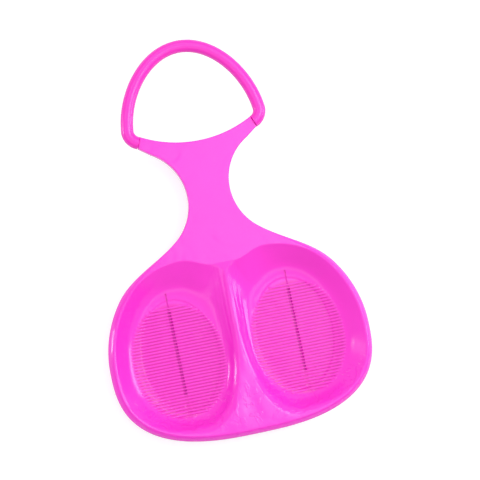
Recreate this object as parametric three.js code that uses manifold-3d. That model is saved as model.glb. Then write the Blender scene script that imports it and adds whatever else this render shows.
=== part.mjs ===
import * as THREE from 'three';
import { mergeVertices } from 'three/addons/utils/BufferGeometryUtils.js';
import Module from 'manifold-3d';

const wasm = await Module();
wasm.setup();

// Snow sled with two seat dishes and a loop handle, lying on its runners.
// X runs across, Y from the seat towards the handle, Z up. Millimetres and degrees.
// A reach is measured along Y from the widest line of the seat.

// Seat plan
const seatHalfWidth = 170;
const seatBackReach = 111;
const seatFrontReach = 156;
const shoulderReach = 87;
const backCurvePower = 2.7;
const rimWidth = 6.5;
const rimDrop = 2.4;

// Walls of the moulding
const wall = 3;
const lipDepth = 10;
const lipWall = 2.5;

// Dishes
const dishHalfSpacing = 77;
const dishReach = 4;
const dishDepth = 26;
const floorHalfWidth = 58;
const floorHalfLength = 74;
const floorFillet = 14;
const lobeHalfSpacing = 54;
const lobeReach = 124;
const notchReach = 112;

// Crest between the dishes: narrow at the neck, a broad saddle at the back
const crestDip = 4.5;
const crestCrown = 1.6;
const frontCrestHalfWidth = 6;
const backCrestHalfWidth = 24;

// Ribs on the dish floors
const ribPitch = 4.05;
const ribWidth = 1.7;
const ribHeight = 1.1;
const ribMargin = 4.5;

// Hollow runners under the dishes
const runnerHalfSpacing = 79;
const runnerDepth = 8;
const runnerWall = 2.2;
const runnerRake = 7;
const slotWidth = 3.6;
const slotFrontReach = 88;
const slotBackReach = 44;

// Neck plate, drawn in by one arc on each side between the lobes and the grip
const waistHalfWidth = 28;
const neckRootMargin = 26.4;
const neckTipSetback = 34.4;
const neckBackAngle = 50;
const neckFrontAngle = 60;
const handEdgeSetback = 27;
const hornWidth = 13.4;

// Handle grip, a bent tube pushed over two pegs
const gripDiameter = 16.5;
const gripWall = 3;
const gripHalfWidth = 87;
const gripReach = 299;
const gripRise = 98;
const gripCornerRadius = 17;
const gripCornerAngle = 70;
const pegLength = 12;
const fitGap = 0.3;

// How far cuts and joins run past the faces they cross
const overrun = 1;

// Shares of the sizes above
const gripTaperShare = 0.105;
const gripCornerShare = 0.06;
const handleShare = 0.34;
const lobeHandleShare = 0.36;
const notchHandleShare = 0.34;
const filletLimitShare = 0.4;
const wallRingShares = [0.1, 0.2, 0.32, 0.5, 0.68, 0.84, 1];
const frontCrestRoundShare = 0.12;
const backCrestRoundShare = 0.5;
const frontCreaseShare = 0.7;
const backCreaseShare = 0.12;
const crestWideningShare = 0.35;
const bandShares = [0, 1 / 3, 2 / 3, 1];
const ringShareOfRoll = 0.5;
const rollShareOfDrop = 0.27;

// Neck arc and hand edge
const sine = (angle) => Math.sin(angle * Math.PI / 180);
const neckRootReach = lobeReach + neckRootMargin;
const neckTipReach = gripReach - neckTipSetback;
const neckRadius = (neckTipReach - neckRootReach) / (sine(neckBackAngle) + sine(neckFrontAngle));
const waistReach = neckRootReach + neckRadius * sine(neckBackAngle);
const handEdgeReach = gripReach - handEdgeSetback;

// Levels
const floorZ = runnerDepth + wall;
const rimZ = floorZ + dishDepth;
const gripZ = rimZ - lipDepth / 2;
const gripRadius = gripDiameter / 2;
const boreRadius = gripRadius - gripWall;
const gripSideCount = 16;
const gripStepCount = 64;
const boreSideCount = 12;
const pegStepCount = 6;
const pegRadius = boreRadius * Math.cos(Math.PI / boreSideCount) - fitGap;

const degrees = Math.PI / 180;

// Closed mesh to solid and back
function solidOf(geometry) {
  geometry.deleteAttribute('normal');
  geometry.deleteAttribute('uv');
  const merged = mergeVertices(geometry);
  const mesh = new wasm.Mesh({
    numProp: 3,
    vertProperties: new Float32Array(merged.attributes.position.array),
    triVerts: new Uint32Array(merged.index.array),
  });
  return new wasm.Manifold(mesh);
}

function geometryOf(solid) {
  const mesh = solid.getMesh();
  const geometry = new THREE.BufferGeometry();
  geometry.setAttribute('position', new THREE.BufferAttribute(mesh.vertProperties, 3));
  geometry.setIndex(new THREE.BufferAttribute(mesh.triVerts, 1));
  const flat = geometry.toNonIndexed();
  flat.computeVertexNormals();
  return flat;
}

// Flat plan outline raised between two heights
function raised(outline, fromZ, toZ, hole) {
  const shape = new THREE.Shape(outline);
  if (hole) shape.holes.push(new THREE.Path(hole));
  const geometry = new THREE.ExtrudeGeometry(shape, { depth: toZ - fromZ, bevelEnabled: false });
  geometry.translate(0, 0, fromZ);
  return solidOf(geometry);
}

const mirrored = (points) => points.map((p) => new THREE.Vector2(-p.x, p.y)).reverse();

// Closed outline moved inwards by a distance, its points running anticlockwise
function inset(outline, distance) {
  const count = outline.length;
  return outline.map((point, i) => {
    const before = outline[(i + count - 1) % count];
    const after = outline[(i + 1) % count];
    const a = new THREE.Vector2().subVectors(point, before).normalize();
    const b = new THREE.Vector2().subVectors(after, point).normalize();
    const normal = new THREE.Vector2(-a.y - b.y, a.x + b.x).normalize();
    const mitre = distance / (normal.x * -a.y + normal.y * a.x);
    return new THREE.Vector2().copy(point).addScaledVector(normal, mitre);
  });
}

// Back edge of the seat, from the side of the saddle to the widest line
const backStartAngle = Math.asin((backCrestHalfWidth / seatHalfWidth) ** (backCurvePower / 2));

class BackQuarter extends THREE.Curve {
  getPoint(t) {
    const angle = backStartAngle + t * (Math.PI / 2 - backStartAngle);
    const power = 2 / backCurvePower;
    return new THREE.Vector2(
      seatHalfWidth * Math.sin(angle) ** power,
      -seatBackReach * Math.cos(angle) ** power,
    );
  }
}

function backEdgeAt(x) {
  const across = (x / seatHalfWidth) ** backCurvePower;
  return new THREE.Vector2(x, -seatBackReach * (1 - across) ** (1 / backCurvePower));
}

const shoulderAngle = Math.asin(shoulderReach / seatFrontReach);
const shoulder = new THREE.Vector2(seatHalfWidth * Math.cos(shoulderAngle), shoulderReach);
const shoulderRun = new THREE.Vector2(
  -seatHalfWidth * Math.sin(shoulderAngle),
  seatFrontReach * Math.cos(shoulderAngle),
).normalize();

const neckCentre = new THREE.Vector2(waistHalfWidth + neckRadius, waistReach);
const onNeck = (angle) => new THREE.Vector2(
  neckCentre.x - neckRadius * Math.cos(angle * degrees),
  neckCentre.y + neckRadius * Math.sin(angle * degrees),
);
const neckRoot = onNeck(-neckBackAngle);
const neckRun = new THREE.Vector2(
  -Math.sin(neckBackAngle * degrees),
  Math.cos(neckBackAngle * degrees),
);

// A curve that leaves one point and reaches another along two given directions
function blend(from, fromRun, to, toRun, share) {
  const reach = from.distanceTo(to) * share;
  return new THREE.CubicBezierCurve(
    from,
    new THREE.Vector2().copy(from).addScaledVector(fromRun, reach),
    new THREE.Vector2().copy(to).addScaledVector(toRun, -reach),
    to,
  );
}

const backQuarter = new BackQuarter();
const frontQuarter = new THREE.EllipseCurve(0, 0, seatHalfWidth, seatFrontReach, 0, shoulderAngle);
const shoulderCurve = blend(shoulder, shoulderRun, neckRoot, neckRun, handleShare);
const neckCurve = new THREE.EllipseCurve(
  neckCentre.x, neckCentre.y, neckRadius, neckRadius,
  Math.PI + neckBackAngle * degrees, Math.PI - neckFrontAngle * degrees, true,
);

// Where the grip ends, and the horn of the neck plate that meets it there
const gripEndAngle = gripCornerAngle * degrees;
const gripEnd = new THREE.Vector2(
  gripHalfWidth - gripCornerRadius * (1 - Math.cos(gripEndAngle)),
  gripReach - gripCornerRadius * Math.sin(gripEndAngle),
);
const gripRun = new THREE.Vector2(Math.sin(gripEndAngle), Math.cos(gripEndAngle));
const hornTip = new THREE.Vector2().copy(gripEnd).addScaledVector(gripRun, -fitGap);
const hornSide = new THREE.Vector2(-gripRun.y, gripRun.x);
const hornInner = new THREE.Vector2().copy(hornTip).addScaledVector(hornSide, hornWidth / 2);
const hornOuter = new THREE.Vector2().copy(hornTip).addScaledVector(hornSide, -hornWidth / 2);

// The hand edge is a shallow arc between the two horns
const handEdgeRise = hornInner.y - handEdgeReach;
const handEdgeRadius = (hornInner.x ** 2 + handEdgeRise ** 2) / (2 * handEdgeRise);
const handEdgeAngle = Math.asin(hornInner.x / handEdgeRadius);
const handEdge = new THREE.EllipseCurve(
  0, handEdgeReach + handEdgeRadius, handEdgeRadius, handEdgeRadius,
  -Math.PI / 2 + handEdgeAngle, -Math.PI / 2, true,
);

// Samples of each stretch, without its last point
const backCount = 14;
const frontCount = 6;
const shoulderCount = 7;
const notchCount = 5;
const crestCount = 12;
const neckCount = 12;
const handEdgeCount = 6;
const stretch = (curve, count) => curve.getSpacedPoints(count).slice(0, count);

const seatEdge = [
  ...bandShares.slice(0, -1).map((share) => backEdgeAt(backCrestHalfWidth * share)),
  ...stretch(backQuarter, backCount),
  ...stretch(frontQuarter, frontCount),
  ...stretch(shoulderCurve, shoulderCount),
];
const neckEdge = [
  ...stretch(neckCurve, neckCount),
  onNeck(neckFrontAngle),
  hornOuter,
  hornInner,
  ...stretch(handEdge, handEdgeCount).slice(1),
];
const handPoint = new THREE.Vector2(0, handEdgeReach);
const planEdge = [
  ...seatEdge,
  ...neckEdge,
  handPoint,
  ...mirrored([...seatEdge.slice(1), ...neckEdge]),
];

// One dish: its floor is an oval, its brim is the lobe edge and the side of the crest
const dishCentre = new THREE.Vector2(dishHalfSpacing, dishReach);
const lobeTop = new THREE.Vector2(lobeHalfSpacing, lobeReach);
const notch = new THREE.Vector2(frontCrestHalfWidth, notchReach);
const inwards = new THREE.Vector2(-1, 0);
const shoulderInner = new THREE.Vector2().copy(shoulder)
  .addScaledVector(new THREE.Vector2(-shoulderRun.y, shoulderRun.x), rimWidth);
const lobeOuterCurve = blend(shoulderInner, shoulderRun, lobeTop, inwards, lobeHandleShare);
const lobeInnerCurve = blend(lobeTop, inwards, notch, inwards, notchHandleShare);
const chord = new THREE.LineCurve(neckRoot, new THREE.Vector2(notch.x, neckRoot.y));

function floorPoint(towards) {
  const away = new THREE.Vector2().subVectors(towards, dishCentre);
  const scale = Math.hypot(away.x / floorHalfWidth, away.y / floorHalfLength);
  return away.divideScalar(scale).add(dishCentre);
}

const mix = (from, to, share) => from + (to - from) * share;
const easing = (share) => share * share * (3 - 2 * share);
const bandSteps = bandShares.length - 1;

// The rim in steps from the middle of the back to the middle of the front
function rimSteps() {
  const insetEdge = inset(planEdge, rimWidth);
  const sides = bandSteps + backCount + frontCount;
  const steps = seatEdge.slice(0, sides).map((edge, i) => {
    const brim = insetEdge[i];
    if (i === 0) brim.x = 0;
    return { edge, brim, roll: brim, drop: rimDrop };
  });
  const front = (edges, brims, fades) => edges.forEach((edge, i) => {
    const brim = brims[i];
    const inward = new THREE.Vector2().subVectors(brim, edge).normalize();
    const reach = Math.min(rimWidth, edge.distanceTo(brim));
    const roll = new THREE.Vector2().copy(edge).addScaledVector(inward, reach);
    steps.push({ edge, brim, roll, drop: rimDrop * fades(i) });
  });
  front(
    seatEdge.slice(sides),
    stretch(lobeOuterCurve, shoulderCount),
    (i) => 1 - easing(i / shoulderCount),
  );
  front(stretch(chord, notchCount), stretch(lobeInnerCurve, notchCount), () => 0);
  const across = bandShares.map((share) => notch.x * share).reverse();
  front(
    across.map((x) => new THREE.Vector2(x, neckRoot.y)),
    across.map((x) => new THREE.Vector2(x, notch.y)),
    () => 0,
  );
  return steps;
}

// The crest in steps from the notch to the back, both ends left out
function crestSteps(backBrim) {
  const steps = [];
  for (let i = 1; i < crestCount; i += 1) {
    const share = i / crestCount;
    const widening = easing(Math.max(0, share - crestWideningShare) / (1 - crestWideningShare));
    const halfWidth = mix(frontCrestHalfWidth, backCrestHalfWidth, widening);
    const swell = Math.sin(Math.PI * share) ** 2;
    const top = rimZ - crestDip * swell;
    const y = mix(notch.y, backBrim.y, share);
    const band = bandShares.map((across) => (
      new THREE.Vector3(halfWidth * across, y, top - crestCrown * swell * across ** 2)
    ));
    const side = band[bandSteps];
    steps.push({
      band,
      brim: new THREE.Vector2(side.x, side.y),
      z: side.z,
      round: mix(frontCrestRoundShare, backCrestRoundShare, widening),
      crease: mix(frontCreaseShare, backCreaseShare, widening),
    });
  }
  return steps;
}

// Height gained between floor and brim: a fillet, a straight rise, and a rounding at the crest
function riseProfile(fillet, round, crease) {
  const straightEnd = 1 - round;
  const slope = (t) => {
    if (t < fillet) return t / fillet;
    if (t <= straightEnd) return 1;
    return 1 - (1 - crease) * (t - straightEnd) / round;
  };
  const gained = (t) => {
    let height = Math.min(t, fillet) ** 2 / (2 * fillet);
    if (t > fillet) height += Math.min(t, straightEnd) - fillet;
    if (t > straightEnd) {
      const past = t - straightEnd;
      height += past - (1 - crease) * past ** 2 / (2 * round);
    }
    return height;
  };
  return { rise: (t) => gained(t) / gained(1), steep: (t) => slope(t) / gained(1) };
}

// Both faces of the dish wall on the line from its floor out to one step of its brim
function wallLine(step) {
  const start = floorPoint(step.brim);
  const run = start.distanceTo(step.brim);
  const fillet = Math.min(filletLimitShare, floorFillet / run);
  const profile = riseProfile(fillet, step.round ?? 0, step.crease ?? 1);
  const height = (step.z ?? rimZ) - floorZ;
  const top = [new THREE.Vector3(start.x, start.y, floorZ)];
  const under = [new THREE.Vector3(start.x, start.y, floorZ - wall)];
  wallRingShares.forEach((t) => {
    const at = new THREE.Vector2().lerpVectors(start, step.brim, t);
    const z = floorZ + height * profile.rise(t);
    const slope = height * profile.steep(t) / run;
    const deep = t === 1 ? wall : wall * Math.hypot(1, slope);
    top.push(new THREE.Vector3(at.x, at.y, z));
    under.push(new THREE.Vector3(at.x, at.y, z - deep));
  });
  return { top, under };
}

// Both faces of the rim on the line from the brim out to the edge
function rimLine(step) {
  const middle = new THREE.Vector2().lerpVectors(step.roll, step.edge, ringShareOfRoll);
  return [
    new THREE.Vector3(step.brim.x, step.brim.y, rimZ),
    new THREE.Vector3(step.roll.x, step.roll.y, rimZ),
    new THREE.Vector3(middle.x, middle.y, rimZ - step.drop * rollShareOfDrop),
    new THREE.Vector3(step.edge.x, step.edge.y, rimZ - step.drop),
    new THREE.Vector3(step.edge.x, step.edge.y, rimZ - wall),
    new THREE.Vector3(step.brim.x, step.brim.y, rimZ - wall),
  ];
}

// The seat: a mirrored pair of dishes in one skin, closed round the rim
function seatSolid() {
  const rim = rimSteps();
  const crest = crestSteps(rim[0].brim);
  const positions = [];
  const triangle = (a, b, c) => {
    if (a.distanceTo(b) * b.distanceTo(c) * c.distanceTo(a) === 0) return;
    [[a, b, c, 1], [a, c, b, -1]].forEach(([p, q, r, side]) => {
      [p, q, r].forEach((v) => positions.push(v.x * side, v.y, v.z));
    });
  };
  const skin = (line, next) => {
    for (let k = 0; k + 1 < line.length; k += 1) {
      triangle(line[k], line[k + 1], next[k + 1]);
      triangle(line[k], next[k + 1], next[k]);
    }
  };
  const lowered = (line) => line.map((p) => new THREE.Vector3(p.x, p.y, p.z - wall));

  const rimLines = rim.map(rimLine);
  rimLines.slice(1).forEach((line, i) => skin(rimLines[i], line));

  const brim = [...rim.slice(bandSteps, rim.length - bandSteps), ...crest];
  const walls = brim.map(wallLine);
  const floorTop = new THREE.Vector3(dishCentre.x, dishCentre.y, floorZ);
  const floorUnder = new THREE.Vector3(dishCentre.x, dishCentre.y, floorZ - wall);
  walls.forEach((line, i) => {
    const next = walls[(i + 1) % walls.length];
    triangle(floorTop, line.top[0], next.top[0]);
    triangle(floorUnder, next.under[0], line.under[0]);
    skin(line.top, next.top);
    skin(next.under, line.under);
  });

  const level = (step) => new THREE.Vector3(step.brim.x, step.brim.y, rimZ);
  const bands = [
    rim.slice(-bandSteps - 1).reverse().map(level),
    ...crest.map((step) => step.band),
    rim.slice(0, bandSteps + 1).map(level),
  ];
  bands.slice(1).forEach((band, i) => {
    skin(band, bands[i]);
    skin(lowered(bands[i]), lowered(band));
  });

  const geometry = new THREE.BufferGeometry();
  geometry.setAttribute('position', new THREE.Float32BufferAttribute(positions, 3));
  return solidOf(geometry);
}

// Neck plate with its two horns, let into the front of the seat
function neckPlate() {
  const root = new THREE.Vector2().copy(seatEdge[seatEdge.length - 1]);
  const half = [root, ...neckEdge];
  return raised([...half, handPoint, ...mirrored(half)], rimZ - wall, rimZ);
}

// Lip hanging from the whole outer edge
function edgeLip() {
  return raised(planEdge, rimZ - lipDepth, rimZ - rimDrop, inset(planEdge, lipWall));
}

// Side view of a runner or its slot, turned so that its width runs along X
function upright(profile, x, width) {
  const geometry = new THREE.ExtrudeGeometry(
    new THREE.Shape(profile.map(([y, z]) => new THREE.Vector2(y, z))),
    { depth: width, bevelEnabled: false },
  );
  geometry.applyMatrix4(new THREE.Matrix4().makeBasis(
    new THREE.Vector3(0, 1, 0), new THREE.Vector3(0, 0, 1), new THREE.Vector3(1, 0, 0),
  ));
  geometry.translate(x - width / 2, 0, 0);
  return solidOf(geometry);
}

function runner(x) {
  const front = slotFrontReach + runnerWall;
  const back = -slotBackReach - runnerWall;
  return upright([
    [back, 0], [front - runnerRake, 0], [front, floorZ + overrun],
    [floorHalfLength, floorZ - overrun], [back, floorZ - overrun],
  ], x, slotWidth + 2 * runnerWall);
}

function runnerSlot(x) {
  return upright([
    [-slotBackReach, runnerWall], [slotFrontReach - runnerRake, runnerWall],
    [slotFrontReach, floorZ], [slotFrontReach, floorZ + floorFillet],
    [-slotBackReach, floorZ + floorFillet],
  ], x, slotWidth);
}

// Ribs across one dish floor, which also bridge the slot
function ribs(side) {
  const pieces = [];
  const halfCount = Math.floor((floorHalfLength - ribWidth) / ribPitch);
  for (let i = -halfCount; i <= halfCount; i += 1) {
    const y = i * ribPitch;
    const share = Math.sqrt(1 - (Math.abs(y) / floorHalfLength) ** 2);
    const length = 2 * (floorHalfWidth * share + ribMargin);
    const geometry = new THREE.BoxGeometry(length, ribWidth, ribHeight + overrun);
    const z = floorZ + (ribHeight - overrun) / 2;
    geometry.translate(side * dishHalfSpacing, dishReach + y, z);
    pieces.push(solidOf(geometry));
  }
  return pieces;
}

// Line through the middle of the grip: an arch that narrows to the top, and a corner
function gripPoint(turn) {
  const angle = turn * degrees;
  const taper = 1 - gripTaperShare * Math.sin(angle);
  return new THREE.Vector3(
    gripHalfWidth * Math.cos(angle) * taper,
    gripReach + gripRise * Math.sin(angle),
    gripZ,
  );
}

function cornerPoint(turn) {
  const angle = turn * degrees;
  return new THREE.Vector3(
    gripHalfWidth - gripCornerRadius * (1 - Math.cos(angle)),
    gripReach - gripCornerRadius * Math.sin(angle),
    gripZ,
  );
}

// Runs from the right horn up and over to the left one, with corners of a given angle
class GripLine extends THREE.Curve {
  constructor(cornerAngle) {
    super();
    this.cornerAngle = cornerAngle;
  }

  getPoint(t) {
    const fromEnd = Math.min(t, 1 - t) / gripCornerShare;
    if (fromEnd > 1) return gripPoint(180 * (t - gripCornerShare) / (1 - 2 * gripCornerShare));
    const point = cornerPoint(this.cornerAngle * (1 - fromEnd));
    if (t > 1 - t) point.x = -point.x;
    return point;
  }
}

// Stretch of one corner between two angles
class CornerLine extends THREE.Curve {
  constructor(side, fromAngle, toAngle) {
    super();
    this.side = side;
    this.fromAngle = fromAngle;
    this.toAngle = toAngle;
  }

  getPoint(t) {
    const point = cornerPoint(this.fromAngle + (this.toAngle - this.fromAngle) * t);
    point.x *= this.side;
    return point;
  }
}

function rod(curve, radius, sides, steps) {
  const section = new THREE.Shape();
  for (let i = 0; i < sides; i += 1) {
    const angle = 2 * Math.PI * i / sides;
    const x = radius * Math.cos(angle);
    const y = radius * Math.sin(angle);
    if (i === 0) section.moveTo(x, y);
    else section.lineTo(x, y);
  }
  return solidOf(new THREE.ExtrudeGeometry(section, { steps, extrudePath: curve }));
}

// The pegs follow the bend of the bore, and start inside the horn's end wall
function peg(side) {
  const rootAngle = (fitGap + lipWall) / gripCornerRadius / degrees;
  const pegAngle = pegLength / gripCornerRadius / degrees;
  const line = new CornerLine(side, gripCornerAngle + rootAngle, gripCornerAngle - pegAngle);
  return rod(line, pegRadius, boreSideCount, pegStepCount);
}

function shellSolid() {
  const sides = [-1, 1];
  let shell = seatSolid().add(neckPlate()).add(edgeLip());
  sides.forEach((side) => { shell = shell.add(runner(side * runnerHalfSpacing)); });
  sides.forEach((side) => { shell = shell.subtract(runnerSlot(side * runnerHalfSpacing)); });
  sides.forEach((side) => { ribs(side).forEach((rib) => { shell = shell.add(rib); }); });
  sides.forEach((side) => { shell = shell.add(peg(side)); });
  return shell;
}

function gripSolid() {
  const boreAngle = gripCornerAngle + overrun / gripCornerRadius / degrees;
  const tube = rod(new GripLine(gripCornerAngle), gripRadius, gripSideCount, gripStepCount);
  return tube.subtract(rod(new GripLine(boreAngle), boreRadius, boreSideCount, gripStepCount));
}

// Bright pink gloss plastic throughout
const pink = () => new THREE.MeshStandardMaterial({ color: 0xf64bd6, roughness: 0.28, metalness: 0 });

function node(name, solid) {
  const mesh = new THREE.Mesh(geometryOf(solid), pink());
  mesh.name = name;
  return mesh;
}

const group = new THREE.Group();
group.add(node('sled_shell', shellSolid()));
group.add(node('handle_grip', gripSolid()));

// The origin lies under the middle of the whole sled
const frontReach = gripReach + gripRise + gripRadius;
group.position.y = (seatBackReach - frontReach) / 2;

export default group;
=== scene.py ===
import math

import bpy
from mathutils import Matrix, Vector
from mathutils.bvhtree import BVHTree


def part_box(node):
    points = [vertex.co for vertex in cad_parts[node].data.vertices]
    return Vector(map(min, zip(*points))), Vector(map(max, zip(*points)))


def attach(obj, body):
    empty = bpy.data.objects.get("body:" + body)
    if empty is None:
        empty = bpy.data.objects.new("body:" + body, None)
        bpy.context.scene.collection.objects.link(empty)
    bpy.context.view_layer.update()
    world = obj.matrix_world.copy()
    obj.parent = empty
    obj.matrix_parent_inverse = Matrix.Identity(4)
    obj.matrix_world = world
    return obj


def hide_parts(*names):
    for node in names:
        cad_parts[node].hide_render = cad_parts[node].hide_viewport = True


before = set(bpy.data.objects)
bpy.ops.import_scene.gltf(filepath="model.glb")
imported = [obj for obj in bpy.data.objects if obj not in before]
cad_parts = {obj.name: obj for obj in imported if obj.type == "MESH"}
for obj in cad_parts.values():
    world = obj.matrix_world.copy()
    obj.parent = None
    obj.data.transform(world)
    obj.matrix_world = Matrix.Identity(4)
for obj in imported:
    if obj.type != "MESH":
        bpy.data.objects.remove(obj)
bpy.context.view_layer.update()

# Seat edge
# The outline of the one plastic moulding: a round seat, shoulders that draw in to a narrow neck, and
# two horns for the ends of the grip. Half of it is drawn here, and the other half is its mirror image.
mm = 0.001
shell_low, shell_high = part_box("sled_shell")
grip_low, grip_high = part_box("handle_grip")
seat_half_width = shell_high.x
seat_back_reach = 111 * mm
seat_front_reach = 156 * mm
shoulder_reach = 87 * mm
back_curve_power = 2.7
widest_y = shell_low.y + seat_back_reach
saddle_half_width = 60 * mm
waist_half_width = 28 * mm
neck_back_angle = math.radians(50)
neck_front_angle = math.radians(60)
shoulder_handle_share = 0.34
horn_width = 15.4 * mm
grip_radius = (grip_high.z - grip_low.z) / 2
grip_half_width = grip_high.x - grip_radius
grip_rise = 98 * mm
grip_reach = grip_high.y - widest_y - grip_radius - grip_rise
grip_corner_radius = 17 * mm
grip_corner_angle = math.radians(70)
fit_gap = 0.3 * mm
lobe_reach = 124 * mm
neck_root_past_lobe = 26.4 * mm
neck_tip_before_grip = 34.4 * mm
hand_edge_before_grip = 27 * mm
neck_root_reach = lobe_reach + neck_root_past_lobe
neck_tip_reach = grip_reach - neck_tip_before_grip
neck_radius = (neck_tip_reach - neck_root_reach) / (
    math.sin(neck_back_angle) + math.sin(neck_front_angle)
)
waist_reach = neck_root_reach + neck_radius * math.sin(neck_back_angle)
hand_edge_reach = grip_reach - hand_edge_before_grip


def evenly(curve, count):
    """Points along a curve of one value from 0 to 1, evenly spaced, without its last point."""
    fine_steps = 600
    fine = [curve(i / fine_steps) for i in range(fine_steps + 1)]
    lengths = [0.0]
    for a, b in zip(fine, fine[1:]):
        lengths.append(lengths[-1] + (b - a).length)
    points = []
    k = 0
    for i in range(count):
        wanted = lengths[-1] * i / count
        while lengths[k + 1] < wanted:
            k += 1
        share = (wanted - lengths[k]) / (lengths[k + 1] - lengths[k])
        points.append(fine[k].lerp(fine[k + 1], share))
    return points


def blend(start, start_run, end, end_run, share):
    """A curve that leaves one point and reaches another along two given directions."""
    reach = (end - start).length * share
    a = start + start_run * reach
    b = end - end_run * reach
    return lambda t: (
        start * (1 - t) ** 3 + a * 3 * t * (1 - t) ** 2 + b * 3 * t * t * (1 - t) + end * t ** 3
    )


def ease(share):
    """Goes softly from 0 to 1 as the share does, and stays there outside."""
    share = min(max(share, 0), 1)
    return share * share * (3 - 2 * share)


def back_edge_at(x):
    across = (x / seat_half_width) ** back_curve_power
    return Vector((x, -seat_back_reach * (1 - across) ** (1 / back_curve_power)))


back_start = math.asin((saddle_half_width / seat_half_width) ** (back_curve_power / 2))


def back_quarter(t):
    angle = back_start + t * (math.pi / 2 - back_start)
    power = 2 / back_curve_power
    return Vector((
        seat_half_width * math.sin(angle) ** power,
        -seat_back_reach * max(math.cos(angle), 0) ** power,
    ))


shoulder_angle = math.asin(shoulder_reach / seat_front_reach)


def front_quarter(t):
    angle = t * shoulder_angle
    return Vector((seat_half_width * math.cos(angle), seat_front_reach * math.sin(angle)))


def on_neck(angle):
    return Vector((
        waist_half_width + neck_radius - neck_radius * math.cos(angle),
        waist_reach + neck_radius * math.sin(angle),
    ))


def neck_side(t):
    return on_neck(-neck_back_angle + t * (neck_back_angle + neck_front_angle))


shoulder = front_quarter(1)
shoulder_run = Vector((
    -seat_half_width * math.sin(shoulder_angle), seat_front_reach * math.cos(shoulder_angle),
)).normalized()
neck_root = neck_side(0)
neck_tip = neck_side(1)
neck_run = Vector((-math.sin(neck_back_angle), math.cos(neck_back_angle)))
shoulder_side = blend(shoulder, shoulder_run, neck_root, neck_run, shoulder_handle_share)
grip_end = Vector((
    grip_half_width - grip_corner_radius * (1 - math.cos(grip_corner_angle)),
    grip_reach - grip_corner_radius * math.sin(grip_corner_angle),
))
grip_run = Vector((math.sin(grip_corner_angle), math.cos(grip_corner_angle)))
horn_tip = grip_end - grip_run * fit_gap
horn_side = Vector((-grip_run.y, grip_run.x))
horn_inner = horn_tip + horn_side * horn_width / 2
horn_outer = horn_tip - horn_side * horn_width / 2
hand_edge_rise = horn_inner.y - hand_edge_reach
hand_edge_radius = (horn_inner.x ** 2 + hand_edge_rise ** 2) / (2 * hand_edge_rise)
hand_edge_angle = math.asin(horn_inner.x / hand_edge_radius)


def hand_edge(t):
    angle = hand_edge_angle * (1 - t)
    return Vector((
        hand_edge_radius * math.sin(angle),
        hand_edge_reach + hand_edge_radius * (1 - math.cos(angle)),
    ))


band_count = 14
back_count = 56
front_count = 26
shoulder_count = 34
neck_count = 44
horn_side_count = 3
horn_end_count = 3
hand_edge_count = 18
edge = [back_edge_at(saddle_half_width * i / band_count) for i in range(band_count)]
edge += evenly(back_quarter, back_count)
edge += evenly(front_quarter, front_count)
sides_count = len(edge)
edge += evenly(shoulder_side, shoulder_count)
edge += evenly(neck_side, neck_count)
edge += evenly(lambda t: neck_tip.lerp(horn_outer, t), horn_side_count)
edge += evenly(lambda t: horn_outer.lerp(horn_inner, t), horn_end_count)
edge += evenly(hand_edge, hand_edge_count)
edge.append(Vector((0, hand_edge_reach)))


def inward_normals(points):
    """Directions that point into the plan. A direction is longer at a corner, up to a limit."""
    least_mitre = 0.7
    mirrored_before = Vector((-points[1].x, points[1].y))
    mirrored_after = Vector((-points[-2].x, points[-2].y))
    ring = [mirrored_before, *points, mirrored_after]
    normals = []
    for before, point, after in zip(ring, ring[1:], ring[2:]):
        a = (point - before).normalized()
        b = (after - point).normalized()
        normal = Vector((-a.y - b.y, a.x + b.x)).normalized()
        mitre = normal.x * -a.y + normal.y * a.x
        normals.append(normal / max(mitre, least_mitre))
    return normals


inwards = inward_normals(edge)

# Sled shell
# The body is one moulding of glossy hot pink polyethylene, about 3 mm thick, with two seat dishes and
# a crest between them. Its edge rolls over into a lip that hangs down all round.
rim_z = shell_high.z
wall = 3 * mm
lip_depth = 10 * mm
lip_wall = 2.5 * mm
lip_edge_radius = 0.8 * mm
rim_roll = 6.5 * mm
rim_drop = 7.5 * mm
rim_slant = 0.6
plate_roll = 1.4 * mm
plate_inner_roll = 3.6 * mm
roll_steps = 9
lip_steps = 3
corner_steps = 3
inner_steps = 5


def roll_of(i):
    """Width of the outer and inner roll, the outer drop and how straight it falls, along the edge."""
    fade = 1 - ease((i - sides_count) / shoulder_count)
    return (
        plate_roll + (rim_roll - plate_roll) * fade,
        plate_inner_roll + (rim_roll - plate_inner_roll) * fade,
        plate_roll + (rim_drop - plate_roll) * fade,
        1 + rim_slant * fade,
    )


def lip_section(i):
    """The edge from its flat top, over the roll, down the lip and up inside it."""
    outer, inner, drop, power = roll_of(i)
    section = []
    for k in range(roll_steps + 1):
        angle = math.pi / 2 * k / roll_steps
        across = outer * (1 - math.sin(angle) ** power)
        section.append((across, -drop * (1 - math.cos(angle) ** power)))
    foot = -lip_depth + lip_edge_radius
    for k in range(1, lip_steps + 1):
        section.append((0, -drop + (foot + drop) * k / lip_steps))
    outer_corner = (lip_edge_radius, math.pi, 1)
    inner_corner = (lip_wall - lip_edge_radius, 1.5 * math.pi, 0)
    for centre, start, first in (outer_corner, inner_corner):
        for k in range(first, corner_steps + 1):
            angle = start + math.pi / 2 * k / corner_steps
            section.append((
                centre + lip_edge_radius * math.cos(angle), foot + lip_edge_radius * math.sin(angle),
            ))
    height = inner - lip_wall
    if outer > lip_wall:
        height = drop * height / outer
    for k in range(inner_steps + 1):
        angle = math.pi / 2 * k / inner_steps
        section.append((
            lip_wall + (inner - lip_wall) * (1 - math.cos(angle)),
            -wall - height * (1 - math.sin(angle)),
        ))
    return section


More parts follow.
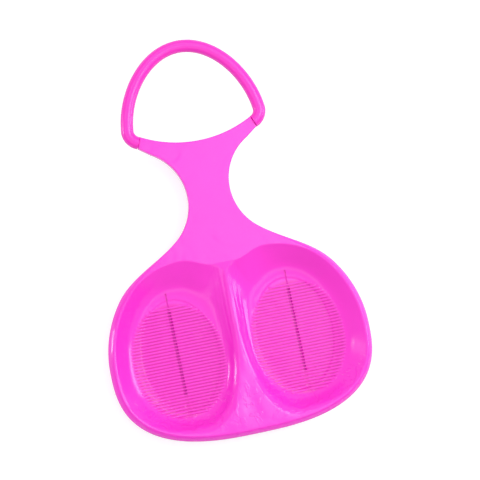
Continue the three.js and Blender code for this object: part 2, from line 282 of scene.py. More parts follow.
def wrapped_sheet(columns, rows, place):
    """A flat grid, each of whose points is moved to place(column, row)."""
    bpy.ops.object.select_all(action="DESELECT")
    bpy.ops.mesh.primitive_grid_add(x_subdivisions=columns, y_subdivisions=rows, size=2)
    sheet = bpy.context.object
    for vertex in sheet.data.vertices:
        column = round((vertex.co.x + 1) / 2 * columns)
        row = round((vertex.co.y + 1) / 2 * rows)
        vertex.co = place(column, row)
    return sheet


sections = [lip_section(i) for i in range(len(edge))]


def edge_place(column, row):
    across, down = sections[column][row]
    point = edge[column] + inwards[column] * across
    if column in (0, len(edge) - 1):
        point.x = 0
    return Vector((point.x, widest_y + point.y, rim_z + down))


edge_sheet = wrapped_sheet(len(edge) - 1, len(sections[0]) - 1, edge_place)

# Crest
# The part of the moulding that stands between the dishes, drawn from the notch between the lobes back
# to the rim. It is a narrow ridge as far as the middle of the dishes, and from there a broad soft
# saddle with a shallow groove, which flares into the back of the rim.
notch_reach = 112 * mm
notch_half_width = 12 * mm
notch_round = 14 * mm
ridge_half_width = 1.6 * mm
ridge_crown = 0.5 * mm
saddle_reach = 22 * mm
saddle_slope = 0.42
saddle_crown_half_width = 14 * mm
crest_dip = 8 * mm
crest_fall_power = 3.2
crest_end_steepness = 4
groove_depth = 4.2 * mm
groove_half_width = 12 * mm
notch_rows = 8
ridge_rows = 16
saddle_rows = 26
crest_rows = notch_rows + ridge_rows + saddle_rows
rim_brim = [edge[i] + inwards[i] * rim_roll for i in range(sides_count + 1)]
rim_brim[0].x = 0


def crest_line(row):
    """Half width of one row of the crest, its reach, and how far it has gone over to the rim."""
    if row <= notch_rows:
        turn = math.pi / 2 * row / notch_rows
        narrowing = (notch_half_width - ridge_half_width) * (1 - math.sin(turn))
        return ridge_half_width + narrowing, notch_reach - notch_round * (1 - math.cos(turn)), 0
    front = notch_reach - notch_round
    if row <= notch_rows + ridge_rows:
        return ridge_half_width, front + (saddle_reach - front) * (row - notch_rows) / ridge_rows, 0
    turn = math.pi / 2 * (row - notch_rows - ridge_rows) / saddle_rows
    widening = (rim_brim[band_count].x - ridge_half_width) * (1 - math.cos(turn))
    return ridge_half_width + widening, saddle_reach, math.sin(turn)


def crest_point(row, column):
    """A point of the crest, which dips steeply behind the notch and rises softly to the rim."""
    half_width, reach, over = crest_line(row)
    share = column / band_count
    y = reach + (rim_brim[column].y - reach) * over
    gone = (notch_reach - y) / (notch_reach - rim_brim[column].y)
    dipped = 1 - (1 - min(2 * gone, 1)) ** crest_fall_power
    low = dipped if gone < 0.5 else 1 - ease(2 * gone - 1)
    saddle_crown = saddle_slope * min(half_width, saddle_crown_half_width) / 2
    crown = ridge_crown + (saddle_crown - ridge_crown) * over
    x = half_width * share
    groove = groove_depth * over * math.exp(-(x / groove_half_width) ** 2)
    end_fade = min(1, crest_end_steepness * gone, crest_end_steepness * (1 - gone))
    z = rim_z - crest_dip * low - (crown * share ** 2 + groove) * end_fade
    if row == crest_rows:
        return Vector((rim_brim[column].x, rim_brim[column].y, rim_z))
    return Vector((x, y, z))


def crest_place(column, row):
    point = crest_point(row, column)
    return Vector((point.x, widest_y + point.y, point.z))


def crest_under_place(column, row):
    return crest_place(column, row) - Vector((0, 0, wall))


crest_sheet = wrapped_sheet(band_count, crest_rows, crest_place)
crest_under = wrapped_sheet(band_count, crest_rows, crest_under_place)

# Seat dishes
# Two hollows of the moulding, one for each side of the sitter. Each starts from an oval floor and
# rises to its brim, which follows the rim on the outside, the front edge of its own lobe at the neck,
# and the side of the crest.
runner_depth = 8 * mm
floor_z = runner_depth + wall
dish_half_spacing = 75.5 * mm
dish_reach = 6 * mm
floor_half_width = 52 * mm
floor_half_length = 75 * mm
floor_fillet = 20 * mm
floor_step = 1.3 * mm
rim_brim_round = 3 * mm
lobe_brim_round = 1.6 * mm
lobe_half_spacing = 54 * mm
lobe_outer_handle_share = 0.36
lobe_inner_handle_share = 0.34
lobe_round_count = 14
back_softness = 0.9
back_soft_count = 24
ridge_softness = 0.2
saddle_softness_power = 0.35
saddle_end_steepness = 5
lobe_count = shoulder_count
notch_count = 20
dish_centre = Vector((dish_half_spacing, dish_reach))
lobe_top = Vector((lobe_half_spacing, lobe_reach))
notch = Vector((notch_half_width, notch_reach))
across_left = Vector((-1, 0))


def flat_brim(point, rounding, soft):
    """A place on the brim, its rounding in plan, how soft it is from 0 to 1, and no slope."""
    return Vector((point.x, point.y, rim_z)), rounding, soft, 0


brim = []
for i, point in enumerate(rim_brim[band_count:sides_count]):
    brim.append(flat_brim(point, rim_brim_round, back_softness * (1 - ease(i / back_soft_count))))
lobe_start = len(brim)
lobe_outer = blend(
    rim_brim[sides_count], shoulder_run, lobe_top, across_left, lobe_outer_handle_share,
)
lobe_inner = blend(lobe_top, across_left, notch, across_left, lobe_inner_handle_share)
for i, point in enumerate(evenly(lobe_outer, lobe_count)):
    narrowing = (lobe_brim_round - rim_brim_round) * ease(i / lobe_round_count)
    brim.append(flat_brim(point, rim_brim_round + narrowing, 0))
for point in evenly(lobe_inner, notch_count):
    brim.append(flat_brim(point, lobe_brim_round, 0))
for row in range(crest_rows):
    over = crest_line(row)[2]
    past_notch = ease(row / notch_rows)
    softness = ridge_softness + (1 - ridge_softness) * over ** saddle_softness_power
    slope = saddle_slope * past_notch * min(1, saddle_end_steepness * (1 - over))
    brim.append((crest_point(row, band_count), lobe_brim_round, past_notch * softness, slope))
brim.append(brim[0])

fillet_steps = 9
straight_steps = 9
round_steps = 8
floor_step_steps = 8
fillet_shares = [k / fillet_steps for k in range(fillet_steps + 1)]
straight_shares = [k / straight_steps for k in range(1, straight_steps)]
round_shares = [k / round_steps for k in range(round_steps + 1)]
floor_shares = [0, 0.5, 0.9, 0.94]
floor_step_start_share = 0.945
floor_step_run_share = 0.05
widest_fillet_share = 0.55
widest_round_share = 0.44
sharpest_crease = 0.9
least_kept = 0.1
thickest_wall_share = 1.5


def wall_profile(run, rise, fillet, rounding, slope):
    """Places and heights, as shares of run and rise, up a fillet, a straight and a rounded brim."""
    fillet_share = min(widest_fillet_share, fillet / run)
    round_share = min(widest_round_share, rounding / run)
    straight = 1 - fillet_share - round_share
    places = [fillet_share * s for s in fillet_shares]
    places += [fillet_share + straight * s for s in straight_shares]
    places += [1 - round_share + round_share * s for s in round_shares]
    taken = slope * run / rise
    kept = 1 - (fillet_share + round_share) / 2
    crease = min(sharpest_crease, taken * kept / max(1 - taken * round_share / 2, least_kept))

    def gained(t):
        height = min(t, fillet_share) ** 2 / (2 * fillet_share)
        height += max(0, min(t, 1 - round_share) - fillet_share)
        past = max(0, t - (1 - round_share))
        return height + past - (1 - crease) * past ** 2 / (2 * round_share)

    return [(t, gained(t) / gained(1)) for t in places]


def wall_line(to, rounding, soft, slope):
    """Points of the dish on the line from its centre out to one point of its brim."""
    away = to.xy - dish_centre
    start = away / math.hypot(away.x / floor_half_width, away.y / floor_half_length) + dish_centre
    run = (to.xy - start).length
    foot_z = floor_z + floor_step
    rise = to.z - foot_z
    line = [(dish_centre.lerp(start, s), floor_z) for s in floor_shares]
    for k in range(floor_step_steps):
        share = floor_step_start_share + floor_step_run_share * k / floor_step_steps
        line.append((dish_centre.lerp(start, share), floor_z + floor_step * ease(k / floor_step_steps)))
    rounding += (run / 2 - rounding) * soft
    for t, share in wall_profile(run, rise, floor_fillet, rounding, slope):
        line.append((start.lerp(to.xy, t), foot_z + rise * share))
    return line


wall_lines = [wall_line(*point) for point in brim]
dish_rows = len(wall_lines[0]) - 1


def dish_place(column, row):
    point, z = wall_lines[column][row]
    return Vector((point.x, widest_y + point.y, z))


def dish_under_place(column, row):
    """The under side of the dish, one wall thickness away from the top side."""
    line = wall_lines[column]
    point, z = line[row]
    before = line[max(row - 1, 0)]
    after = line[min(row + 1, dish_rows)]
    run = (after[0] - before[0]).length
    deep = wall
    if 0 < row < dish_rows and run > 0:
        upright = wall * math.hypot(1, (after[1] - before[1]) / run)
        deep = min(upright, thickest_wall_share * wall)
    return Vector((point.x, widest_y + point.y, z - deep))


dish_sheet = wrapped_sheet(len(brim) - 1, dish_rows, dish_place)
dish_under = wrapped_sheet(len(brim) - 1, dish_rows, dish_under_place)

# Shoulders
# The flat of the moulding on each side of the neck, as thick as the rest of it. It lies between the
# roll of the edge and the front edge of the lobe.
shoulder_rows = 5
lobe_brim = [point[0].xy for point in brim[lobe_start:lobe_start + lobe_count + 1]]
outer_roll = 0
inner_roll = 1


def shoulder_place(column, row, down, roll):
    i = sides_count + column
    start = edge[i] + inwards[i] * roll_of(i)[roll]
    point = start.lerp(lobe_brim[column], row / shoulder_rows)
    return Vector((point.x, widest_y + point.y, rim_z - down))


shoulder_sheet = wrapped_sheet(
    lobe_count, shoulder_rows, lambda column, row: shoulder_place(column, row, 0, outer_roll),
)
shoulder_under = wrapped_sheet(
    lobe_count, shoulder_rows, lambda column, row: shoulder_place(column, row, wall, inner_roll),
)

# Neck plate and whole shell
# Edge, crest, dishes and shoulders become one closed body. Half of it is mirrored, its seams are
# merged, and the flat neck plate between the rolls is filled in above and below.
mirror_gap = 0.02 * mm
merge_gap = 0.05 * mm
sliver = 0.01 * mm
level_gap = 0.02 * mm


def pick(piece):
    """Selects one piece alone, and makes it the active one."""
    bpy.ops.object.select_all(action="DESELECT")
    piece.select_set(True)
    bpy.context.view_layer.objects.active = piece


def join(first, *others):
    pick(first)
    for piece in others:
        piece.select_set(True)
    bpy.ops.object.join()
    return first


def apply(piece, kind, **settings):
    """Adds one modifier, and applies it."""
    pick(piece)
    modifier = piece.modifiers.new(kind, kind)
    for name, value in settings.items():
        setattr(modifier, name, value)
    bpy.ops.object.modifier_apply(modifier=modifier.name)


shell = join(
    edge_sheet, crest_sheet, crest_under, dish_sheet, dish_under, shoulder_sheet, shoulder_under,
)
shell.name = "sled_moulding"
shell.data.name = "sled_moulding"
apply(shell, "MIRROR", use_axis=(True, False, False), merge_threshold=mirror_gap)
bpy.ops.object.mode_set(mode="EDIT")
bpy.ops.mesh.select_mode(type="VERT")
bpy.ops.mesh.select_all(action="SELECT")
bpy.ops.mesh.remove_doubles(threshold=merge_gap)
bpy.ops.mesh.dissolve_degenerate(threshold=sliver)


def fill_at(z):
    """Closes the open loop that lies at one height with one flat face."""
    bpy.ops.mesh.select_all(action="DESELECT")
    bpy.ops.mesh.select_non_manifold(
        extend=False, use_wire=False, use_multi_face=False, use_non_contiguous=False, use_verts=False,
    )
    bpy.ops.object.mode_set(mode="OBJECT")
    for vertex in shell.data.vertices:
        if abs(vertex.co.z - z) > level_gap:
            vertex.select = False
    bpy.ops.object.mode_set(mode="EDIT")
    bpy.ops.mesh.edge_face_add()


fill_at(rim_z)
fill_at(rim_z - wall)
bpy.ops.mesh.select_all(action="SELECT")
bpy.ops.mesh.normals_make_consistent(inside=False)
bpy.ops.object.mode_set(mode="OBJECT")
whole_top = BVHTree.FromPolygons(
    [vertex.co.copy() for vertex in shell.data.vertices],
    [tuple(face.vertices) for face in shell.data.polygons],
)

# Runners
# Two hollow runners stand under the dishes as part of the moulding. Their inside shows from above as
# a narrow slot in each floor, which reaches a little up the front wall.
runner_half_spacing = 79 * mm
runner_wall = 2.2 * mm
runner_rake = 7 * mm
runner_bevel = 0.9 * mm
slot_width = 4.2 * mm
slot_front_reach = 88 * mm
slot_back_reach = 44 * mm
slit_width = 2 * mm
slit_depth = 1.3 * mm
pocket_front_reach = 65 * mm
pocket_depth = 6 * mm
pocket_z = floor_z - pocket_depth
cutter_height = 14 * mm
above_floor_z = floor_z + cutter_height
overrun = 1 * mm


def upright_block(name, side, width, profile):
    """A side view in Y and Z, drawn as one face and extruded across to its width."""
    bpy.ops.object.select_all(action="DESELECT")
    bpy.ops.mesh.primitive_circle_add(vertices=len(profile), fill_type="NGON")
    block = bpy.context.object
    block.name = name
    x = side * runner_half_spacing - width / 2
    for vertex, (y, z) in zip(block.data.vertices, profile):
        vertex.co = Vector((x, widest_y + y, z))
    bpy.ops.object.mode_set(mode="EDIT")
    bpy.ops.mesh.select_all(action="SELECT")
    bpy.ops.mesh.extrude_region_move(TRANSFORM_OT_translate={"value": (width, 0, 0)})
    bpy.ops.mesh.select_all(action="SELECT")
    bpy.ops.mesh.normals_make_consistent(inside=False)
    bpy.ops.object.mode_set(mode="OBJECT")
    return block


runner_front = slot_front_reach + runner_wall
runner_back = -slot_back_reach - runner_wall
runner_profile = [
    (runner_back, 0), (runner_front - runner_rake, 0), (runner_front, floor_z + overrun),
    (floor_half_length, floor_z - overrun), (runner_back, floor_z - overrun),
]
slot_profile = [
    (-slot_back_reach, pocket_z), (pocket_front_reach, pocket_z),
    (pocket_front_reach, above_floor_z), (-slot_back_reach, above_floor_z),
]
slit_profile = [
    (pocket_front_reach - overrun, floor_z - slit_depth), (floor_half_length, floor_z - slit_depth),
    (slot_front_reach, floor_z), (slot_front_reach, above_floor_z),
    (pocket_front_reach - overrun, above_floor_z),
]
runners = [
    upright_block("runner", side, slot_width + 2 * runner_wall, runner_profile) for side in (-1, 1)
]
for runner in runners:
    apply(runner, "BEVEL", width=runner_bevel, segments=3)
slots = [upright_block("slot", side, slot_width, slot_profile) for side in (-1, 1)]
slits = [upright_block("slit", side, slit_width, slit_profile) for side in (-1, 1)]
for operation, tools in (("UNION", runners), ("DIFFERENCE", slots), ("DIFFERENCE", slits)):
    tool = join(*tools)
    apply(shell, "BOOLEAN", operation=operation, solver="EXACT", object=tool)
    bpy.data.objects.remove(tool)

# Ribs
# Each dish floor has fine cross ribs, moulded in one with it, that bridge the slot and run a little
# way up the walls at their ends.
rib_pitch = 4.05 * mm
rib_width = 2.6 * mm
bridge_width = 1.7 * mm
bridge_flare = 0.6 * mm
rib_height = 1.4 * mm
rib_root = 0.6 * mm
rib_half_length = 61 * mm
rib_field_front_reach = 71 * mm
rib_field_back_reach = -71 * mm
rib_field_power = 2.2
rib_side_steps = 21
rib_end_length = 3 * mm
rib_end_share = 0.05
rib_section = [
    (-0.5, -rib_root), (-0.46, rib_height * 0.7), (-0.34, rib_height * 0.95), (0, rib_height),
    (0.34, rib_height * 0.95), (0.46, rib_height * 0.7), (0.5, -rib_root),
]
rib_field_centre = (rib_field_front_reach + rib_field_back_reach) / 2
rib_field_half = (rib_field_front_reach - rib_field_back_reach) / 2


def rib_reach(y):
    """How far a rib runs to each side of the middle of its field."""
    share = abs(y - rib_field_centre) / (rib_field_half + rib_pitch)
    return rib_half_length * (1 - share ** rib_field_power) ** 0.5


def rib_sheet(side, y):
    """One rib laid on the dish: broad at its foot, narrow over the slot, and low at its ends."""
    half = rib_reach(y)
    count = len(rib_section)
    clear = slot_width / 2 + bridge_flare
    spots = [clear + (half - clear) * k / rib_side_steps for k in range(rib_side_steps + 1)]
    spots.insert(0, slot_width / 2)
    spots = [-spot for spot in reversed(spots)] + spots

    def place(column, row):
        along = spots[column]
        width = rib_width if abs(along) > slot_width / 2 else bridge_width
        taper = min(1, max(rib_end_share, (half - abs(along)) / rib_end_length))
        across, up = rib_section[row % count]
        spot = Vector((side * runner_half_spacing + along, widest_y + y + across * width, 0))
        hit = whole_top.ray_cast(spot + Vector((0, 0, rim_z + wall)), Vector((0, 0, -1)))[0]
        lift = up if up < 0 else up * taper ** 0.5 - rib_root * (1 - taper ** 0.5)
        return Vector((spot.x, spot.y, hit.z + lift))

    return wrapped_sheet(len(spots) - 1, count, place)


def mend(piece, most_sides=None):
    """Merges doubles, closes open ends of up to so many sides, and turns all faces outwards."""
    pick(piece)
    bpy.ops.object.mode_set(mode="EDIT")
    bpy.ops.mesh.select_all(action="SELECT")
    bpy.ops.mesh.remove_doubles(threshold=sliver)
    if most_sides is not None:
        bpy.ops.mesh.select_non_manifold(extend=False)
        bpy.ops.mesh.fill_holes(sides=most_sides)
        bpy.ops.mesh.select_all(action="SELECT")
    bpy.ops.mesh.normals_make_consistent(inside=False)
    bpy.ops.object.mode_set(mode="OBJECT")


rib_count = int(2 * rib_field_half / rib_pitch)
rib_fields = []
for side, name in ((-1, "left_ribs"), (1, "right_ribs")):
    field = [rib_sheet(side, rib_field_back_reach + rib_pitch * (i + 0.5)) for i in range(rib_count)]
    ribs = join(*field)
    ribs.name = name
    mend(ribs, most_sides=len(rib_section) + 1)
    rib_fields.append(ribs)

# Plastic of shell and ribs
# Hot pink polyethylene, smooth, glossy and slightly wavy. Between the ribs it gets painted shade, the
# slots' pockets get painted shade and a faint painted glow in place of light through their thin walls,
# and the melt left streaks along the ridge and marks like spilt pools near the back.
shell_pink = (0.92, 0.035, 0.63, 1)
# Painted shade: a darker pink for the dish floor between the ribs, where shade falls.
rib_gap_shade_pink = (0.7, 0.016, 0.42, 1)
# Painted shade and a painted glow for the slots' pockets: a darker pink, and a faint emission in place of
# light through the thin walls.
pocket_shade_pink = (0.62, 0.003, 0.42, 1)
pocket_painted_glow = (0.14, 0.0, 0.1, 1)
deep_share = 0.9
shell_roughness = 0.13
shell_smooth_angle = math.radians(32)
ribs_smooth_angle = math.radians(60)
cloud_scale = 9.0
grain_scale = 420.0
wave_scale = 26.0
pool_scale = 38.0
streak_scale = (300, 9, 9)
wave_relief = 1.5
grain_relief = 0.012
streak_relief = 3.2
pool_relief = 1.1
grain_roughness = 0.06
bump_strength = 0.35
bump_distance = 1.2 * mm
field_fade = (0.88, 1.0)
# Heights over which the painted shade between the ribs fades out.
rib_gap_shade_fade = (floor_z + 3 * mm, floor_z + 9 * mm)
slot_margin = 0.2 * mm
pocket_foot_fade = (pocket_z - 0.6 * mm, pocket_z - 0.3 * mm)
pocket_top_fade = (floor_z - 1.2 * mm, floor_z - 0.5 * mm)
streak_side_fade = (6 * mm, 24 * mm)
streak_back_fade = (widest_y, widest_y + 35 * mm)
plate_fade = (rim_z - 2 * mm, rim_z)
pool_edge_fade = (0.5, 0.58)
pool_fade = (widest_y - 70 * mm, widest_y - 30 * mm)


class Shade:
    """A socket of a material. Sums with it add Math nodes, and other nodes come from node()."""

    def __init__(self, tree, socket=None):
        self.tree = tree
        self.socket = socket

    def node(self, kind, settings=None, inputs=None, output=0):
        made = self.tree.nodes.new(kind)
        for name, value in (settings or {}).items():
            if name == "stops":
                ramp = made.color_ramp.elements
                while len(ramp) < len(value):
                    ramp.new(0.5)
                for stop, (position, colour) in zip(ramp, value):
                    stop.position = position
                    stop.color = colour
            else:
                setattr(made, name, value)
        for name, value in (inputs or {}).items():
            if isinstance(value, Shade):
                self.tree.links.new(value.socket, made.inputs[name])
            else:
                made.inputs[name].default_value = value
        return Shade(self.tree, made.outputs[output] if made.outputs else None)

    def math(self, operation, a, b):
        return self.node("ShaderNodeMath", {"operation": operation}, {0: a, 1: b})

    def __add__(self, other):
        return self.math("ADD", self, other)

    def __sub__(self, other):
        return self.math("SUBTRACT", self, other)

    def __rsub__(self, other):
        return self.math("SUBTRACT", other, self)

    def __mul__(self, other):
        return self.math("MULTIPLY", self, other)

    __radd__ = __add__
    __rmul__ = __mul__


def blank(owner):
    """Clears the nodes of a material or a world, and gives what makes new ones."""
    owner.use_nodes = True
    owner.node_tree.nodes.clear()
    return Shade(owner.node_tree)


def noise(place, scale, detail, distortion=0.0):
    return place.node("ShaderNodeTexNoise", None, {
        "Vector": place, "Scale": scale, "Detail": detail, "Distortion": distortion,
    }, output="Fac")


def rising(value, fade, soft=False):
    """0 below both ends of the fade, and 1 above them."""
    kind = "SMOOTHSTEP" if soft else "LINEAR"
    return value.node("ShaderNodeMapRange", {"interpolation_type": kind}, {
        "Value": value, "From Min": fade[0], "From Max": fade[1], "To Min": 0.0, "To Max": 1.0,
    })


def falling(value, fade, soft=False):
    """1 below both ends of the fade, and 0 above them."""
    kind = "SMOOTHSTEP" if soft else "LINEAR"
    return value.node("ShaderNodeMapRange", {"interpolation_type": kind}, {
        "Value": value, "From Min": fade[0], "From Max": fade[1], "To Min": 1.0, "To Max": 0.0,
    })


def mixed(share, none, whole):
    """A colour between two others. Sockets 6 and 7 of a Mix node take colours, and output 2 gives one."""
    return share.node("ShaderNodeMix", {"data_type": "RGBA"}, {0: share, 6: none, 7: whole}, output=2)


def pink_plastic(name, base, roughness, moulded_and_shaded):
    """Wavy glossy plastic in one pink. The shell's has the marks of its moulding, painted shade between
    the ribs, and painted shade with a faint painted glow in the slots' pockets.
    """
    material = bpy.data.materials.new(name)
    start = blank(material)
    place = start.node("ShaderNodeTexCoord", output="Object")
    grain = noise(place, grain_scale, detail=3.0)
    deep = tuple(channel * deep_share for channel in base[:3]) + (1,)
    colour = mixed(noise(place, cloud_scale, detail=2.0), deep, base)
    wave = noise(place, wave_scale, detail=1.0, distortion=1.2)
    relief = wave * wave_relief + grain * grain_relief
    # Emission colour: black, except for the painted glow in the pockets below.
    painted_glow = (0, 0, 0, 1)
    if moulded_and_shaded:
        x = start.node("ShaderNodeSeparateXYZ", None, {0: place}, output="X")
        y = start.node("ShaderNodeSeparateXYZ", None, {0: place}, output="Y")
        z = start.node("ShaderNodeSeparateXYZ", None, {0: place}, output="Z")
        out = x.math("ABSOLUTE", x, 0)
        # Painted shade: the dish floor inside the rib field, low down between the ribs, is coloured a
        # darker pink.
        along = (out - runner_half_spacing) * (1 / rib_half_length)
        back = (y - widest_y - rib_field_centre) * (1 / (rib_field_half + rib_pitch))
        in_field = falling(along * along + back * back, field_fade)
        colour = mixed(in_field * falling(z, rib_gap_shade_fade), colour, rib_gap_shade_pink)

        # Painted shade and a faint painted glow inside the slots' pockets.
        by_slot = start.node("ShaderNodeMath", {"operation": "COMPARE"}, {
            0: out, 1: runner_half_spacing, 2: slot_width / 2 + slot_margin,
        })
        in_pocket = by_slot * rising(z, pocket_foot_fade) * falling(z, pocket_top_fade)
        colour = mixed(in_pocket, colour, pocket_shade_pink)
        painted_glow = mixed(in_pocket, painted_glow, pocket_painted_glow)

        off_plate = falling(z, plate_fade)
        stretched = start.node("ShaderNodeMapping", None, {"Vector": place, "Scale": streak_scale})
        streaks = noise(stretched, 1.0, detail=2.0)
        by_ridge = falling(out, streak_side_fade, soft=True) * rising(y, streak_back_fade, soft=True)
        relief = relief + streaks * by_ridge * off_plate * streak_relief
        pools = rising(noise(place, pool_scale, detail=2.0, distortion=2.4), pool_edge_fade, soft=True)
        near_back = falling(y, pool_fade, soft=True)
        relief = relief + pools * near_back * off_plate * pool_relief
    bump = start.node("ShaderNodeBump", None, {
        "Strength": bump_strength, "Distance": bump_distance, "Height": relief,
    })
    shader = start.node("ShaderNodeBsdfPrincipled", None, {
        "Base Color": colour,
        "Roughness": roughness + grain * grain_roughness,
        "IOR": 1.52,
        "Emission Color": painted_glow,
        "Emission Strength": 1.0,
        "Normal": bump,
    })
    start.node("ShaderNodeOutputMaterial", None, {"Surface": shader})
    return material


def finish_piece(piece, material, smooth_angle):
    piece.data.materials.clear()
    piece.data.materials.append(material)
    pick(piece)
    bpy.ops.object.shade_smooth_by_angle(angle=smooth_angle)
    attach(piece, "root")


shell_plastic = pink_plastic("shell_plastic", shell_pink, shell_roughness, moulded_and_shaded=True)
finish_piece(shell, shell_plastic, shell_smooth_angle)
apply(shell, "WEIGHTED_NORMAL", keep_sharp=True)
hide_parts("sled_shell")
rib_plastic = pink_plastic("rib_plastic", shell_pink, shell_roughness, moulded_and_shaded=False)
for ribs in rib_fields:
    finish_piece(ribs, rib_plastic, ribs_smooth_angle)

# Handle grip
# A tube of the same plastic, painted a darker pink for shade, bent into a loop that narrows to the top.
# Its ends turn in at the two corners and are pushed over short pegs on the horns.
grip_wall = 3 * mm
grip_taper_share = 0.105
grip_z = (grip_low.z + grip_high.z) / 2
grip_end_bevel = 0.7 * mm
grip_end_angle = math.radians(50)
grip_smooth_angle = math.radians(40)
# Painted shade: the grip's pink is a darker copy of the shell's, for the round sides of its tube.
grip_shaded_pink = (0.92, 0.025, 0.56, 1)
grip_roughness = 0.2
arch_steps = 150
corner_arc_steps = 16


def arch_point(turn):
    taper = 1 - grip_taper_share * math.sin(turn)
    return Vector((
        grip_half_width * math.cos(turn) * taper,
        widest_y + grip_reach + grip_rise * math.sin(turn),
        grip_z,
    ))


def corner_point(side, turn):
    return Vector((
        side * (grip_half_width - grip_corner_radius * (1 - math.cos(turn))),
        widest_y + grip_reach - grip_corner_radius * math.sin(turn),
        grip_z,
    ))


def tube(name, points, radius, resolution):
    """A round bar along a row of points, made as a bevelled curve and turned into a mesh."""
    line = bpy.data.curves.new(name, "CURVE")
    line.dimensions = "3D"
    line.twist_mode = "Z_UP"
    spline = line.splines.new("POLY")
    spline.points.add(len(points) - 1)
    for knot, point in zip(spline.points, points):
        knot.co = (*point, 1)
    line.bevel_depth = radius
    line.bevel_resolution = resolution
    bar = bpy.data.objects.new(name, line)
    bpy.context.scene.collection.objects.link(bar)
    pick(bar)
    bpy.ops.object.convert(target="MESH")
    return bpy.context.object


corner_turns = [grip_corner_angle * (1 - k / corner_arc_steps) for k in range(corner_arc_steps)]
grip_points = [corner_point(1, turn) for turn in corner_turns]
grip_points += [arch_point(math.pi * k / arch_steps) for k in range(arch_steps + 1)]
grip_points += [corner_point(-1, turn) for turn in reversed(corner_turns)]
grip = tube("grip_tube", grip_points, grip_radius, resolution=10)
mend(grip)
apply(grip, "SOLIDIFY", thickness=grip_wall, offset=-1)
apply(
    grip, "BEVEL", width=grip_end_bevel, segments=3, limit_method="ANGLE", angle_limit=grip_end_angle,
)
grip_plastic = pink_plastic("grip_plastic", grip_shaded_pink, grip_roughness, moulded_and_shaded=False)
finish_piece(grip, grip_plastic, grip_smooth_angle)
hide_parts("handle_grip")

# Pegs
# A short round peg on each horn, part of the shell's moulding, holds the end of the grip by its bore.
# It follows the bend of the grip's corner, and both of its ends are bevelled.
peg_length = 12 * mm
peg_radius = grip_radius - grip_wall - fit_gap
peg_steps = 12
peg_end_bevel = 0.6 * mm
peg_end_angle = math.radians(60)
peg_smooth_angle = math.radians(40)
peg_start_turn = grip_corner_angle + (fit_gap + lip_wall) / grip_corner_radius
peg_end_turn = grip_corner_angle - peg_length / grip_corner_radius
peg_run = peg_end_turn - peg_start_turn
peg_turns = [peg_start_turn + peg_run * k / peg_steps for k in range(peg_steps + 1)]
for side, name in ((-1, "left_peg"), (1, "right_peg")):
    peg_points = [corner_point(side, turn) for turn in peg_turns]
    peg = tube(name, peg_points, peg_radius, resolution=6)
    mend(peg, most_sides=0)
    apply(
        peg, "BEVEL", width=peg_end_bevel, segments=2, limit_method="ANGLE", angle_limit=peg_end_angle,
    )
    finish_piece(peg, shell_plastic, peg_smooth_angle)

# Floor
# A plain white table top under the sled. It shines a little, but only to the camera and in
# reflections, so that it shows white there and the shadow under the sled stays.
floor_size = 12.0
floor_grey = (0.55, 0.55, 0.55, 1)
floor_shine = 0.62
bpy.ops.object.select_all(action="DESELECT")
bpy.ops.mesh.primitive_plane_add(size=floor_size)
floor = bpy.context.object
floor.name = "studio_floor"
floor_material = bpy.data.materials.new("studio_floor")
paper = blank(floor_material)
matt = paper.node("ShaderNodeBsdfDiffuse", None, {"Color": floor_grey})
white = paper.node("ShaderNodeEmission", None, {"Color": (1, 1, 1, 1), "Strength": floor_shine})
dark = paper.node("ShaderNodeEmission", None, {"Color": (0, 0, 0, 1), "Strength": 0.0})
straight = paper.node("ShaderNodeLightPath", output="Is Camera Ray")
mirrored = paper.node("ShaderNodeLightPath", output="Is Glossy Ray")
through = paper.node("ShaderNodeLightPath", output="Is Transmission Ray")
seen = straight + mirrored + through
glow = paper.node("ShaderNodeMixShader", None, {0: seen, 1: dark, 2: white})
both = paper.node("ShaderNodeAddShader", None, {0: matt, 1: glow})
paper.node("ShaderNodeOutputMaterial", None, {"Surface": both})
floor.data.materials.append(floor_material)

# Camera
# It looks almost straight down on the sled, from a little behind its left side, and is rolled so
# that the handle points up and to the left of the picture.
camera_target = Vector((0, 0, 30 * mm))
camera_azimuth = math.radians(-61.2)
camera_height = math.radians(80.1)
camera_roll = math.radians(49.7)
camera_distance = 2950 * mm
camera_aside = Vector((29.1 * mm, -5.7 * mm))
focal_pixels = 2300
picture_pixels = 480
sensor_width = 36
back = Vector((
    math.cos(camera_height) * math.sin(camera_azimuth),
    -math.cos(camera_height) * math.cos(camera_azimuth),
    math.sin(camera_height),
))
level = Vector((math.cos(camera_azimuth), math.sin(camera_azimuth), 0))
upward = back.cross(level)
right = math.cos(camera_roll) * level + math.sin(camera_roll) * upward
up = -math.sin(camera_roll) * level + math.cos(camera_roll) * upward
camera_data = bpy.data.cameras.new("camera")
camera_data.sensor_width = sensor_width
camera_data.lens = focal_pixels / picture_pixels * sensor_width
camera = bpy.data.objects.new("camera", camera_data)
camera.matrix_world = Matrix.Translation(
    camera_target + back * camera_distance + right * camera_aside.x + up * camera_aside.y
) @ Matrix((right, up, back)).transposed().to_4x4()
bpy.context.scene.collection.objects.link(camera)
bpy.context.scene.camera = camera

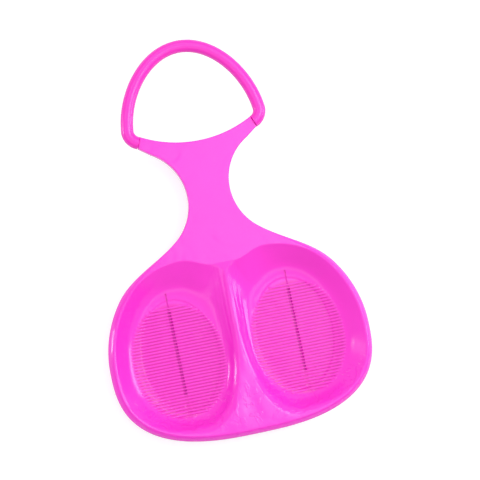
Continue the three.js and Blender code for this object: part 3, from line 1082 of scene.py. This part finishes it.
# Lights
# A soft key panel stands up and to the right of the picture, a flat panel hangs overhead so that the
# neck plate mirrors it, and two window panels low at the sides draw streaks along the rims. The room
# is bright in a ring high round the sled, fair right overhead, and dim lower down.
overhead_turn = math.radians(37)
skyward = Vector((0, 0, 1))
room_stops = [
    (0, (0.16, 0.16, 0.16, 1)), (0.66, (0.18, 0.18, 0.18, 1)), (0.74, (1, 1, 1, 1)),
    (0.84, (1, 1, 1, 1)), (0.9, (0.42, 0.42, 0.42, 1)), (1, (0.42, 0.42, 0.42, 1)),
]


def soft_box(name, towards, distance, size, power, turn=None):
    """A panel that faces the sled, or that faces straight down and is turned by an angle."""
    lamp = bpy.data.lights.new(name, "AREA")
    lamp.shape = "RECTANGLE"
    lamp.size, lamp.size_y = size
    lamp.energy = power
    box = bpy.data.objects.new(name, lamp)
    direction = towards.normalized()
    box.location = direction * distance
    if turn is None:
        box.rotation_euler = direction.to_track_quat("Z", "Y").to_euler()
    else:
        box.rotation_euler = (0, 0, turn)
    bpy.context.scene.collection.objects.link(box)


soft_box("key", 0.75 * right + 0.45 * up + back, distance=2.0, size=(0.7, 0.9), power=5.2)
soft_box(
    "overhead", Vector((0.54, 0.28, 1.6)), distance=1.7, size=(0.9, 0.6), power=2.0,
    turn=overhead_turn,
)
soft_box("right_window", right + 0.25 * up + 0.2 * back, distance=2.0, size=(1.0, 0.7), power=9)
soft_box("left_window", -right + 0.1 * up + 0.27 * back, distance=2.0, size=(0.4, 0.5), power=6)

world = bpy.data.worlds.new("room")
bpy.context.scene.world = world
air = blank(world)
facing = air.node("ShaderNodeTexCoord", output="Generated")


def facing_towards(direction):
    return air.node("ShaderNodeVectorMath", {"operation": "DOT_PRODUCT"}, {
        0: facing, 1: direction,
    }, output="Value")


room_light = air.node("ShaderNodeValToRGB", {"stops": room_stops}, {"Fac": facing_towards(skyward)})
side_light = air.node("ShaderNodeMapRange", None, {
    "Value": facing_towards(0.4 * right + 0.9 * up),
    "From Min": -0.3, "From Max": 1.0, "To Min": 0.34, "To Max": 0.48,
})
far_side = air.node("ShaderNodeMapRange", None, {
    "Value": facing_towards(up),
    "From Min": -0.65, "From Max": -0.1, "To Min": 1.05, "To Max": 1.5,
})
room = air.node("ShaderNodeBackground", None, {
    "Color": (1, 1, 1, 1), "Strength": room_light * far_side + side_light,
})
air.node("ShaderNodeOutputWorld", None, {"Surface": room})

bpy.context.scene.view_settings.view_transform = "Standard"
